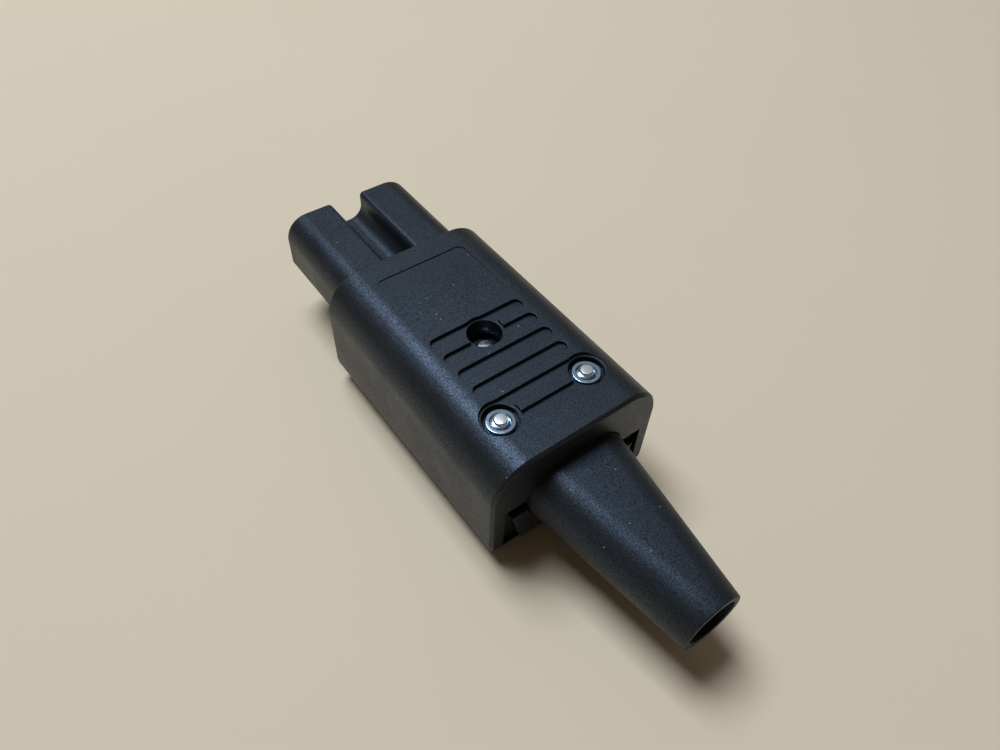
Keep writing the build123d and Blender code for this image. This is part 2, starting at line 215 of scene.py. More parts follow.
def shade(colour: Colour, factor: float) -> tuple[float, float, float, float]:
    """A colour made lighter or darker.

    Args:
        colour: The colour.
        factor: How many times lighter it gets.

    Returns:
        The colour with full alpha.
    """
    return (*(min(1.0, part * factor) for part in colour), 1.0)


@dataclass(frozen=True)
class MouldedPlastic:
    """Moulded plastic or rubber with a spark-eroded skin, rubbed lighter along its edges.

    Grain, relief and spacings are millimetres. Dust is the share of a speck in its spacing.
    """

    name: str
    colour: Colour
    roughness: float
    grain: float = 0.16
    relief: float = 0.022
    speckle: float = 0.3
    glint: float = 0.6
    rub: float = 0.15
    rubbed_width: float = 0.22
    rubbed_tone: float = 3.2
    cloud_size: float = 7.0
    cloud_tone: float = 1.25
    unevenness: float = 0.05
    pit_roughness: float = 0.12
    gloss: float = 0.5
    # Painted light: a blue tint on every highlight, standing in for the blue window light.
    painted_highlight_tint: Colour = (0.54, 0.72, 1.0)
    dust: float = 0.042
    dust_spacing: float = 2.0
    dust_colour: Colour = (0.42, 0.42, 0.40)

    def material(self) -> bpy.types.Material:
        """Builds the finish.

        Returns:
            The material.
        """
        made, graph, skin = shader(self.name)
        pits = graph.noise(self.grain, 3.0)
        waves = graph.noise(self.grain * 6, 2.0)
        cloud = graph.noise(self.cloud_size, 4.0)
        height = graph.math("MULTIPLY_ADD", waves, 0.5, pits)
        relief = {"Strength": 1.0, "Distance": self.relief * MM, "Height": height}
        grainy = graph.blend(
            graph.spread(pits, 0.35, 0.65, 0.0, 1.0),
            shade(self.colour, 1 - self.speckle),
            shade(self.colour, 1 + self.speckle),
        )
        clouded = graph.blend(
            graph.spread(cloud, 0.35, 0.65, 0.0, 0.3), grainy, shade(self.colour, self.cloud_tone)
        )
        edge = graph.math("MULTIPLY", self._edges(graph), pits)
        worn = graph.blend(edge, clouded, shade(self.colour, self.rubbed_tone))
        skin_tone = graph.blend(self._specks(graph), worn, shade(self.dust_colour, 1.0))
        smooth, rough = self.roughness - self.unevenness, self.roughness + self.unevenness
        uneven = graph.spread(cloud, 0.3, 0.7, smooth, rough)
        level = graph.math("SUBTRACT", uneven, self.pit_roughness / 2)
        pitted = graph.math("MULTIPLY_ADD", pits, self.pit_roughness, level)
        sparks = graph.noise(self.grain * 1.3, 1.0)
        dull, bright = self.gloss * (1 - self.glint), self.gloss * (1 + self.glint)
        graph.feed(skin.inputs["Base Color"], skin_tone)
        graph.feed(skin.inputs["Roughness"], pitted)
        graph.feed(skin.inputs["Normal"], graph.add("ShaderNodeBump", relief).outputs[0])
        shine = graph.spread(sparks, 0.35, 0.65, dull, bright)
        graph.feed(skin.inputs["Specular IOR Level"], shine)
        # Painted light: the highlights are tinted blue to stand in for the blue window light.
        skin.inputs["Specular Tint"].default_value = (*self.painted_highlight_tint, 1.0)
        return made

    def _edges(self, graph: Graph) -> bpy.types.NodeSocket:
        """Finds the convex and concave edges, where the skin is rubbed.

        Args:
            graph: The material's graph.

        Returns:
            How much the skin is rubbed.
        """
        rounded = graph.add("ShaderNodeBevel", {"Radius": self.rubbed_width * MM}, samples=4)
        facing = graph.add("ShaderNodeNewGeometry").outputs["Normal"]
        turn = graph.add(
            "ShaderNodeVectorMath", {0: rounded.outputs[0], 1: facing}, operation="DOT_PRODUCT"
        ).outputs["Value"]
        return graph.spread(turn, 0.995, 0.8, 0.0, self.rub)

    def _specks(self, graph: Graph) -> bpy.types.NodeSocket:
        """Scatters single specks of dust.

        Args:
            graph: The material's graph.

        Returns:
            1 on a speck and 0 elsewhere.
        """
        place = graph.add("ShaderNodeTexCoord").outputs["Object"]
        feeds = {"Vector": place, "Scale": 1 / (self.dust_spacing * MM)}
        cell = graph.add("ShaderNodeTexVoronoi", feeds)
        return graph.math("LESS_THAN", cell.outputs["Distance"], self.dust)


@dataclass(frozen=True)
class PlatedMetal:
    """Plated or plain metal with fine tool marks and a slightly dulled skin."""

    name: str
    colour: Colour
    roughness: float
    grain: float = 0.08
    relief: float = 0.003
    drawn: Colour = (1.0, 1.0, 1.0)
    cloud_size: float = 0.9

    def material(self) -> bpy.types.Material:
        """Builds the finish.

        Returns:
            The material.
        """
        made, graph, skin = shader(self.name)
        marks = graph.noise(self.grain, 2.0, self.drawn)
        cloud = graph.noise(self.cloud_size, 3.0)
        relief = {"Strength": 1.0, "Distance": self.relief * MM, "Height": marks}
        tone = graph.blend(
            graph.spread(cloud, 0.35, 0.7, 0.0, 1.0),
            shade(self.colour, 1.05),
            shade(self.colour, 0.8),
        )
        rough = graph.spread(cloud, 0.3, 0.7, self.roughness - 0.06, self.roughness + 0.1)
        graph.feed(skin.inputs["Base Color"], tone)
        graph.feed(skin.inputs["Roughness"], rough)
        graph.feed(skin.inputs["Normal"], graph.add("ShaderNodeBump", relief).outputs[0])
        skin.inputs["Metallic"].default_value = 1.0
        return made


@dataclass(frozen=True)
class PaleSurface:
    """Plain pale table top."""

    name: str
    colour: Colour
    cloud_size: float = 60.0
    roughness: float = 0.75
    gloss: float = 0.2

    def material(self) -> bpy.types.Material:
        """Builds the finish.

        Returns:
            The material.
        """
        made, graph, skin = shader(self.name)
        cloud = graph.noise(self.cloud_size, 3.0)
        tone = graph.blend(cloud, shade(self.colour, 0.98), shade(self.colour, 1.02))
        graph.feed(skin.inputs["Base Color"], tone)
        skin.inputs["Roughness"].default_value = self.roughness
        skin.inputs["Specular IOR Level"].default_value = self.gloss
        return made


def dress(piece: bpy.types.Object, material: bpy.types.Material) -> None:
    """Gives every slot of a piece one material.

    Args:
        piece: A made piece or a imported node.
        material: Its finish.
    """
    if not piece.material_slots:
        piece.data.materials.append(material)
    for slot in piece.material_slots:
        slot.material = material


def settle(piece: bpy.types.Object, slot: Slot, *nodes: str) -> bpy.types.Object:
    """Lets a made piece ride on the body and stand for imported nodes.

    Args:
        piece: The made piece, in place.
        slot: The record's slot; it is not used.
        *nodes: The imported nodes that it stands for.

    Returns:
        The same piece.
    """
    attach(piece, BODY)
    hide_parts(*nodes)
    LOG.info("%s stands for %s", piece.name, ", ".join(nodes))
    return piece


def link(name: str, mesh: bpy.types.Mesh) -> bpy.types.Object:
    """Puts a mesh into the scene as an object at the origin.

    Args:
        name: Name of the object.
        mesh: Its mesh.

    Returns:
        The object.
    """
    piece = bpy.data.objects.new(name, mesh)
    bpy.context.scene.collection.objects.link(piece)
    return piece


def span_to(point: Vector, edge: bmesh.types.BMEdge) -> float:
    """Measures the shortest way from a point to an edge.

    Args:
        point: The point.
        edge: The edge, ends included.

    Returns:
        The distance.
    """
    start, end = (vertex.co for vertex in edge.verts)
    share = intersect_point_line(point, start, end)[1]
    return (start.lerp(end, min(1.0, max(0.0, share))) - point).length


def plane_areas(shape: bmesh.types.BMesh, same: float = 0.999998) -> list[float]:
    """Measures the whole flat that each face lies in.

    Args:
        shape: The mesh.
        same: Cosine of the angle up to which two faces lie in one flat.

    Returns:
        An area for every face, by its number.
    """
    area = [0.0] * len(shape.faces)
    for first in shape.faces:
        if area[first.index]:
            continue
        plane, seen = [first], {first.index}
        for face in plane:
            for other in (loop.link_loop_radial_next.face for loop in face.loops):
                if other.index not in seen and other.normal.dot(first.normal) > same:
                    seen.add(other.index)
                    plane.append(other)
        whole = sum(face.calc_area() for face in plane)
        for face in plane:
            area[face.index] = whole
    return area


def corner_normals(mesh: bpy.types.Mesh, fold: float = 50.0) -> list[Vector]:
    """Normals that keep flat faces flat, run smoothly into roundings and break at sharp edges.

    Args:
        mesh: The mesh, its edges already rounded.
        fold: Degrees between two faces from which on an edge stays sharp.

    Returns:
        A normal for every corner of every face, in the mesh's order.
    """
    shape = bmesh.new()
    shape.from_mesh(mesh)
    shape.faces.ensure_lookup_table()
    area = plane_areas(shape)
    limit = cos(radians(fold))
    normals = []
    for face in shape.faces:
        for corner in face.loops:
            total = Vector()
            for other in corner.vert.link_loops:
                if other.face.normal.dot(face.normal) > limit:
                    share = area[other.face.index] ** 2 * other.calc_angle()
                    total += other.face.normal * share
            normals.append(total.normalized())
    shape.free()
    return normals


@dataclass
class RoundedCopy:
    """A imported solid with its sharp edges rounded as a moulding's are.

    A whole run of edges takes one rounding, smaller where a narrow face lies beside it, and
    none where it would fall under the least share of the full rounding.
    """

    node: bpy.types.Object
    name: str
    edge: float
    fold: float = 24.0
    segments: int = 2
    share: float = 0.42
    least: float = 0.35
    onward: float = 0.64
    weld: float = 0.002
    flat: float = 0.5
    reshape: Callable[[bmesh.types.BMesh], None] | None = None

    def _room(
        self, edge: bmesh.types.BMEdge, run: set[bmesh.types.BMEdge], sharp: set[bmesh.types.BMEdge]
    ) -> float:
        """Measures the free width beside an edge.

        Args:
            edge: The edge.
            run: Edges of its own run, which don't count.
            sharp: All sharp edges.

        Returns:
            The width up to the next sharp edge, or all that a full rounding needs.
        """
        start, end = (vertex.co for vertex in edge.verts)
        points = [start.lerp(end, part) for part in (0.1, 0.5, 0.9)]
        room = self.edge * MM / self.share
        for face in edge.link_faces:
            for other in face.edges:
                if other in sharp and other not in run and not set(edge.verts) & set(other.verts):
                    room = min([room] + [span_to(point, other) for point in points])
        return room

    def _weigh(self, shape: bmesh.types.BMesh) -> None:
        """Writes a bevel weight on every edge of the merged copy.

        Args:
            shape: The merged copy.
        """
        weights = shape.edges.layers.float.new("bevel_weight_edge")
        sharp = {
            edge
            for edge in shape.edges
            if edge.is_manifold and edge.calc_face_angle() > radians(self.fold)
        }
        waiting = set(sharp)
        while waiting:
            run = [waiting.pop()]
            for edge in run:
                for vertex in edge.verts:
                    away = (edge.other_vert(vertex).co - vertex.co).normalized()
                    for other in vertex.link_edges:
                        onward = (other.other_vert(vertex).co - vertex.co).normalized()
                        if other in waiting and away.dot(onward) < -self.onward:
                            waiting.remove(other)
                            run.append(other)
            room = min(self._room(edge, set(run), sharp) for edge in run)
            weight = self.share * room / (self.edge * MM)
            for edge in run:
                edge[weights] = weight if weight > self.least else 0.0

    def _mesh(self) -> bpy.types.Mesh:
        """Joins the loose triangles of the node and weighs its edges.

        Returns:
            A new mesh.
        """
        shape = bmesh.new()
        shape.from_mesh(self.node.data)
        bmesh.ops.remove_doubles(shape, verts=shape.verts, dist=self.weld * MM)
        if self.reshape:
            self.reshape(shape)
        bmesh.ops.dissolve_limit(
            shape, angle_limit=radians(self.flat), verts=shape.verts, edges=shape.edges
        )
        self._weigh(shape)
        bmesh.ops.triangulate(shape, faces=shape.faces)
        made = bpy.data.meshes.new(self.name + "_plain")
        shape.to_mesh(made)
        shape.free()
        for name in [layer.name for layer in made.uv_layers]:
            made.uv_layers.remove(made.uv_layers[name])
        return made

    def build(self, material: bpy.types.Material) -> bpy.types.Object:
        """Makes the piece.

        Args:
            material: Its finish.

        Returns:
            The piece, in place.
        """
        draft = link(self.name + "_draft", self._mesh())
        bevel = draft.modifiers.new("rounded edges", "BEVEL")
        bevel.width = self.edge * MM
        bevel.segments = self.segments
        bevel.limit_method = "WEIGHT"
        bevel.use_clamp_overlap = False
        bevel.loop_slide = False
        graph = bpy.context.evaluated_depsgraph_get()
        made = bpy.data.meshes.new_from_object(draft.evaluated_get(graph))
        made.name = self.name
        bpy.data.objects.remove(draft)
        made.materials.clear()
        made.shade_smooth()
        made.normals_split_custom_set(corner_normals(made))
        piece = link(self.name, made)
        dress(piece, material)
        return piece


@dataclass(frozen=True)
class Ring:
    """One section of a turned or lofted piece: a rectangle with its corners fully rounded out.

    A turned section has no core, so it is a circle.
    """

    height: float
    radius: float
    core_width: float = 0.0
    core_height: float = 0.0
    level: float = 0.0


def rounding(
    centre: Point, radius: float, start: float, end: float, steps: int = 4
) -> list[Point]:
    """Points of an arc in the plane of a profile.

    Args:
        centre: Its middle, as radius and height.
        radius: Its radius.
        start: First angle in degrees, 0 outwards and 90 up.
        end: Last angle in degrees.
        steps: Spans that the arc is cut into.

    Returns:
        The points, ends included.
    """
    angles = [radians(start + (end - start) * i / steps) for i in range(steps + 1)]
    return [(centre[0] + radius * cos(a), centre[1] + radius * sin(a)) for a in angles]


@dataclass(frozen=True)
class Thread:
    """Ridge that winds round the axis: its radius, lowest height, rise, turns and half width."""

    radius: float = 0.0
    height: float = 0.0
    rise: float = 0.0
    turns: float = 0.0
    flank: float = 0.0


@dataclass
class RingedPiece:
    """A closed skin over a row of rings, set at one or more places, made by Geometry Nodes."""

    name: str
    rings: list[Ring]
    places: list[Vector]
    around: int = 72
    facing: Facing = Facing.UP
    slot_width: float = 0.0
    slot_depth: float = 0.0
    thread: Thread = Thread()
    smooth: float = 32.0
    merge: float = 0.0008

    def _profile(self) -> bpy.types.Mesh:
        """Rings as a chain of vertices that carry their sizes.

        Returns:
            The mesh that the rule reads.
        """
        made = bpy.data.meshes.new(self.name + "_profile")
        points = [(ring.level * MM, 0.0, ring.height * MM) for ring in self.rings]
        made.from_pydata(points, [(i, i + 1) for i in range(len(points) - 1)], [])
        for name in ("radius", "core_width", "core_height"):
            layer = made.attributes.new(name, "FLOAT", "POINT")
            for item, ring in zip(layer.data, self.rings):
                item.value = getattr(ring, name) * MM
        return made

    def _skin(self, graph: Graph, source: bpy.types.Node) -> bpy.types.NodeSocket:
        """Rule of the skin: a grid with a row for every ring, wrapped round the axis.

        Args:
            graph: Graph of the tree.
            source: The tree's input node.

        Returns:
            The skin's geometry.
        """
        chain = source.outputs["Geometry"]
        size = graph.add("GeometryNodeAttributeDomainSize", {"Geometry": chain})
        columns = graph.math("ADD", source.outputs["Around"], 1)
        grid = graph.add(
            "GeometryNodeMeshGrid",
            {"Vertices X": size.outputs["Point Count"], "Vertices Y": columns},
        )
        index = graph.add("GeometryNodeInputIndex").outputs[0]
        row = graph.math("FLOOR", graph.math("DIVIDE", graph.math("ADD", index, 0.5), columns))
        column = graph.math("SUBTRACT", index, graph.math("MULTIPLY", row, columns))
        turn = graph.math("DIVIDE", graph.math("ADD", column, 0.5), source.outputs["Around"])
        angle = graph.math("MULTIPLY", turn, 2 * pi)
        centre = graph.add("GeometryNodeInputPosition").outputs[0]

        def at_ring(value: object, data_type: str) -> bpy.types.NodeSocket:
            """Reads a value of the chain at this vertex's ring.

            Args:
                value: The value, on the chain.
                data_type: Its type.

            Returns:
                The value here.
            """
            feeds = {"Geometry": chain, "Value": value, "Index": row}
            kind = "GeometryNodeSampleIndex"
            return graph.add(kind, feeds, data_type=data_type).outputs[0]

        def ring_size(name: str) -> bpy.types.NodeSocket:
            """Reads a size of this vertex's ring.

            Args:
                name: The size's name.

            Returns:
                The size.
            """
            kind = "GeometryNodeInputNamedAttribute"
            value = graph.add(kind, {"Name": name}, data_type="FLOAT").outputs[0]
            return at_ring(value, "FLOAT")

        middle = graph.add(
            "ShaderNodeSeparateXYZ", {0: at_ring(centre, "FLOAT_VECTOR")}
        ).outputs
        radius = ring_size("radius")
        across, up = graph.math("COSINE", angle), graph.math("SINE", angle)
        core_y = graph.math("MULTIPLY", graph.math("SIGN", across), ring_size("core_width"))
        core_x = graph.math("MULTIPLY", graph.math("SIGN", up), ring_size("core_height"))
        wide = graph.math("MULTIPLY_ADD", radius, across, core_y)
        high = graph.math("MULTIPLY_ADD", radius, up, core_x)
        point = graph.add(
            "ShaderNodeCombineXYZ",
            {
                0: graph.math("ADD", high, middle[0]),
                1: graph.math("MULTIPLY", wide, -1.0),
                2: middle[2],
            },
        ).outputs[0]
        placed = graph.add(
            "GeometryNodeSetPosition", {"Geometry": grid.outputs[0], "Position": point}
        ).outputs[0]
        return graph.add(
            "GeometryNodeMergeByDistance", {"Geometry": placed, "Distance": self.merge * MM}
        ).outputs[0]

    def _slotted(
        self, graph: Graph, source: bpy.types.Node, body: bpy.types.NodeSocket
    ) -> bpy.types.NodeSocket:
        """Rule of the screwdriver slot, cut out of the lower end.

        Args:
            graph: Graph of the tree.
            source: The tree's input node.
            body: Geometry that is cut.

        Returns:
            The cut geometry.
        """
        bar = graph.add("GeometryNodeMeshCube", {"Size": source.outputs["Slot"]})
        moved = graph.add(
            "GeometryNodeTransform",
            {"Geometry": bar.outputs[0], "Translation": source.outputs["Slot place"]},
        )
        cut = graph.add("GeometryNodeMeshBoolean", operation="DIFFERENCE", solver="EXACT")
        graph.feed(cut.inputs[0], body)
        graph.feed(cut.inputs[1], moved.outputs[0])
        return cut.outputs[0]

    def _threaded(
        self, graph: Graph, source: bpy.types.Node, body: bpy.types.NodeSocket
    ) -> bpy.types.NodeSocket:
        """Rule of the thread's ridge.

        Args:
            graph: Graph of the tree.
            source: The tree's input node.
            body: Geometry that the ridge is joined to.

        Returns:
            The joined geometry.
        """
        start = source.outputs["Thread radius"]
        helix = graph.add(
            "GeometryNodeCurveSpiral",
            {
                "Resolution": 40,
                "Rotations": source.outputs["Thread turns"],
                "Start Radius": start,
                "End Radius": start,
                "Height": source.outputs["Thread rise"],
            },
        )
        flank = graph.add(
            "GeometryNodeCurvePrimitiveCircle",
            {"Resolution": 6, "Radius": source.outputs["Thread flank"]},
        )
        ridge = graph.add(
            "GeometryNodeCurveToMesh",
            {"Curve": helix.outputs[0], "Profile Curve": flank.outputs[0], "Fill Caps": True},
        )
        rise = graph.add("ShaderNodeCombineXYZ", {2: source.outputs["Thread start"]})
        lifted = graph.add(
            "GeometryNodeTransform",
            {"Geometry": ridge.outputs[0], "Translation": rise.outputs[0]},
        )
        join = graph.add("GeometryNodeJoinGeometry")
        graph.feed(join.inputs[0], body)
        graph.feed(join.inputs[0], lifted.outputs[0])
        return join.outputs[0]

    def _tree(self) -> bpy.types.NodeTree:
        """Builds the tree: skin, slot, thread, places.

        Returns:
            The tree.
        """
        tree = bpy.data.node_groups.new(self.name + "_rule", "GeometryNodeTree")
        sockets = {
            "Geometry": "Geometry",
            "Around": "Int",
            "Places": "Object",
            "Turned to": "Vector",
            "Slot": "Vector",
            "Slot place": "Vector",
            "Thread radius": "Float",
            "Thread start": "Float",
            "Thread rise": "Float",
            "Thread turns": "Float",
            "Thread flank": "Float",
            "Finish": "Material",
        }
        new_socket = tree.interface.new_socket
        for name, kind in sockets.items():
            new_socket(name=name, in_out="INPUT", socket_type="NodeSocket" + kind)
        new_socket(name="Geometry", in_out="OUTPUT", socket_type="NodeSocketGeometry")
        graph = Graph(tree)
        source = graph.add("NodeGroupInput")
        body = self._skin(graph, source)
        if self.slot_width:
            body = self._slotted(graph, source, body)
        if self.thread.turns:
            body = self._threaded(graph, source, body)
        places = graph.add("GeometryNodeObjectInfo", {"Object": source.outputs["Places"]})
        turned = graph.add("FunctionNodeEulerToRotation", {0: source.outputs["Turned to"]})
        copies = graph.add(
            "GeometryNodeInstanceOnPoints",
            {
                "Points": places.outputs["Geometry"],
                "Instance": body,
                "Rotation": turned.outputs[0],
            },
        )
        real = graph.add("GeometryNodeRealizeInstances", {0: copies.outputs[0]})
        coloured = graph.add(
            "GeometryNodeSetMaterial",
            {"Geometry": real.outputs[0], "Material": source.outputs["Finish"]},
        )
        graph.add("NodeGroupOutput", {0: coloured.outputs[0]})
        return tree

    def _inputs(
        self, places: bpy.types.Object, material: bpy.types.Material
    ) -> dict[str, object]:
        """Values for the tree's named inputs.

        Args:
            places: Object whose vertices are the places.
            material: The finish.

        Returns:
            The values by name.
        """
        low = min(ring.height for ring in self.rings)
        reach = max(ring.radius for ring in self.rings)
        slot = (3 * reach * MM, self.slot_width * MM, 2 * self.slot_depth * MM)
        return {
            "Around": self.around,
            "Places": places,
            "Turned to": self.facing.value,
            "Slot": slot,
            "Slot place": (0.0, 0.0, low * MM),
            "Thread radius": self.thread.radius * MM,
            "Thread start": self.thread.height * MM,
            "Thread rise": self.thread.rise * MM,
            "Thread turns": self.thread.turns,
            "Thread flank": self.thread.flank * MM,
            "Finish": material,
        }

    def build(self, material: bpy.types.Material) -> bpy.types.Object:
        """Runs the rule and keeps its result as a plain mesh.

        Args:
            material: The finish.

        Returns:
            The piece, in place.
        """
        spots = bpy.data.meshes.new(self.name + "_places")
        spots.from_pydata([tuple(p) for p in self.places], [], [])
        places = link(self.name + "_places", spots)
        draft = link(self.name + "_draft", self._profile())
        modifier = draft.modifiers.new("rule", "NODES")
        modifier.node_group = self._tree()
        values = self._inputs(places, material)
        for item in modifier.node_group.interface.items_tree:
            if item.in_out == "INPUT" and item.name in values:
                modifier[item.identifier] = values[item.name]
        draft.update_tag()
        graph = bpy.context.evaluated_depsgraph_get()
        made = bpy.data.meshes.new_from_object(draft.evaluated_get(graph))
        made.name = self.name
        for spare in (draft, places):
            bpy.data.objects.remove(spare)
        made.shade_smooth()
        made.set_sharp_from_angle(angle=radians(self.smooth))
        return link(self.name, made)


def turned(points: list[Point]) -> list[Ring]:
    """Makes the rings of a turned piece.

    Args:
        points: Its profile as radius and height, from the top outwards and down.

    Returns:
        The rings.
    """
    return [Ring(height=height, radius=radius) for radius, height in points]


def middle(node: str) -> Vector:
    """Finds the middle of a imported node's box.

    Args:
        node: The node's name.

    Returns:
        The middle.
    """
    low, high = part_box(node)
    return (low + high) / 2


def top_middle(node: str) -> Vector:
    """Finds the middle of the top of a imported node's box.

    Args:
        node: The node's name.

    Returns:
        The place.
    """
    spot = middle(node)
    spot.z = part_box(node)[1].z
    return spot


@dataclass(frozen=True)
class SlopingField:
    """Bare field on the hood, sunk at the nose and running out into the top at the grooves."""

    front: float = -21.6
    back: float = -7.8
    half_width: float = 8.3
    floor: float = 21.42
    run_out: float = 0.16
    level_slack: float = 0.01
    end_slack: float = 0.1

    def __call__(self, shape: bmesh.types.BMesh) -> None:
        """Raises the floor of the field the more, the farther it lies from the nose.

        Args:
            shape: Copy of the hood.
        """
        for vertex in shape.verts:
            x, y, z = vertex.co / MM
            level = abs(z - self.floor) < self.level_slack
            if level and abs(y) < self.half_width and x < self.back + self.end_slack:
                way = (x - self.front) / (self.back - self.front)
                vertex.co.z += self.run_out * way * MM


@dataclass
class Housing:
    """Hood and lower cover."""

    nodes: dict[str, bpy.types.Object]
    bushes: tuple[str, ...] = (
        "threaded_bush_front",
        "threaded_bush_rear_left",
        "threaded_bush_rear_right",
    )
    well: float = 5.4
    well_slack: float = 0.03
    hood_edge: float = 0.1
    cover_edge: float = 0.1

    def _polish(self, hood: bpy.types.Object, material: bpy.types.Material) -> None:
        """Gives the walls of the wells, which a bare tool pin forms, a glossier finish.

        Args:
            hood: The made hood.
            material: The glossier finish.
        """
        hood.data.materials.append(material)
        reach = (self.well / 2 + self.well_slack) * MM
        for name in self.bushes:
            centre = middle(name)
            for face in hood.data.polygons:
                if (face.center - centre).xy.length < reach:
                    face.material_index = 1

    def build(
        self, material: bpy.types.Material, polished: bpy.types.Material
    ) -> list[bpy.types.Object]:
        """Makes both mouldings.

        Args:
            material: Their finish.
            polished: Finish of the walls of the wells.

        Returns:
            The pieces.
        """
        hood = RoundedCopy(
            self.nodes["hood"], "housing_hood", self.hood_edge, reshape=SlopingField()
        ).build(material)
        self._polish(hood, polished)
        cover = RoundedCopy(
            self.nodes["lower_cover"], "housing_lower_cover", self.cover_edge
        ).build(material)
        return [
            settle(hood, Slot.HOUSING, "hood"),
            settle(cover, Slot.HOUSING, "lower_cover"),
        ]


@dataclass
class MatingNose:
    """Contact carrier with the keyed nose."""

    nodes: dict[str, bpy.types.Object]
    edge: float = 0.3

    def build(self, material: bpy.types.Material) -> bpy.types.Object:
        """Makes the moulding.

        Args:
            material: Its finish.

        Returns:
            The piece.
        """
        nose = RoundedCopy(self.nodes["contact_carrier"], "keyed_nose", self.edge)
        return settle(nose.build(material), Slot.CARRIER, "contact_carrier")


@dataclass
class CordBoot:
    """Tapered boot: rounded rectangle at the housing, circle at the tip."""

    base_width: float = 17.0
    base_height: float = 11.3
    corner: float = 4.9
    base_level: float = 11.25
    tip_diameter: float = 9.9
    axis_height: float = 10.5
    bore: float = 7.8
    flange_width: float = 21.0
    flange_height: float = 14.8
    flange_corner: float = 5.0
    flange_thickness: float = 1.7
    neck: float = 2.0
    tip_round: float = 0.2
    mouth_round: float = 0.15
    spans: int = 8
    neck_share: float = 0.98

    def _rings(self, length: float) -> list[Ring]:
        """Sections from the tip's mouth over the outside to the flange and back inside.

        Args:
            length: From the front of the flange to the tip.

        Returns:
            The rings, from the mouth of the bore round to where they started.
        """
        start = self.flange_thickness + self.neck
        taper = length - start
        core_w, core_h = self.base_width / 2 - self.corner, self.base_height / 2 - self.corner
        bore, level = self.bore / 2, self.axis_height

        def outside(height: float, inset: float = 0.0) -> Ring:
            """Section of the taper.

            Args:
                height: How far it lies from the front of the flange.
                inset: How far it is drawn in.

            Returns:
                The ring.
            """
            t = max(0.0, (height - start) / taper)
            return Ring(
                height,
                self.corner + (self.tip_diameter / 2 - self.corner) * t - inset,
                core_w * (1 - t),
                core_h * (1 - t),
                self.base_level + (level - self.base_level) * t,
            )

        rings = [
            Ring(height, radius, level=level)
            for radius, height in rounding(
                (bore + self.mouth_round, length - self.mouth_round), self.mouth_round, 180, 90
            )
        ]
        for inset, height in rounding(
            (self.tip_round, length - self.tip_round), self.tip_round, 90, 0, 6
        ):
            rings.append(outside(height, 2 * self.tip_round - inset))
        for i in range(1, self.spans + 1):
            rings.append(outside(length - taper * i / self.spans * self.neck_share))
        rings.append(outside(start))
        rings.append(outside(self.flange_thickness))
        flange_w = self.flange_width / 2 - self.flange_corner
        flange_h = self.flange_height / 2 - self.flange_corner
        for height in (self.flange_thickness, 0.0):
            rings.append(Ring(height, self.flange_corner, flange_w, flange_h, self.base_level))
        rings.append(Ring(0.0, bore, level=level))
        rings.append(rings[0])
        return rings

    def build(self, material: bpy.types.Material) -> bpy.types.Object:
        """Makes the boot.

        Args:
            material: Its finish.

        Returns:
            The piece.
        """
        low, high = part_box("boot")
        rings = self._rings((high.x - low.x) / MM)
        place = Vector((low.x, 0.0, 0.0))
        piece = RingedPiece("cord_boot", rings, [place], around=96, facing=Facing.ALONG)
        return settle(piece.build(material), Slot.BOOT, "boot")


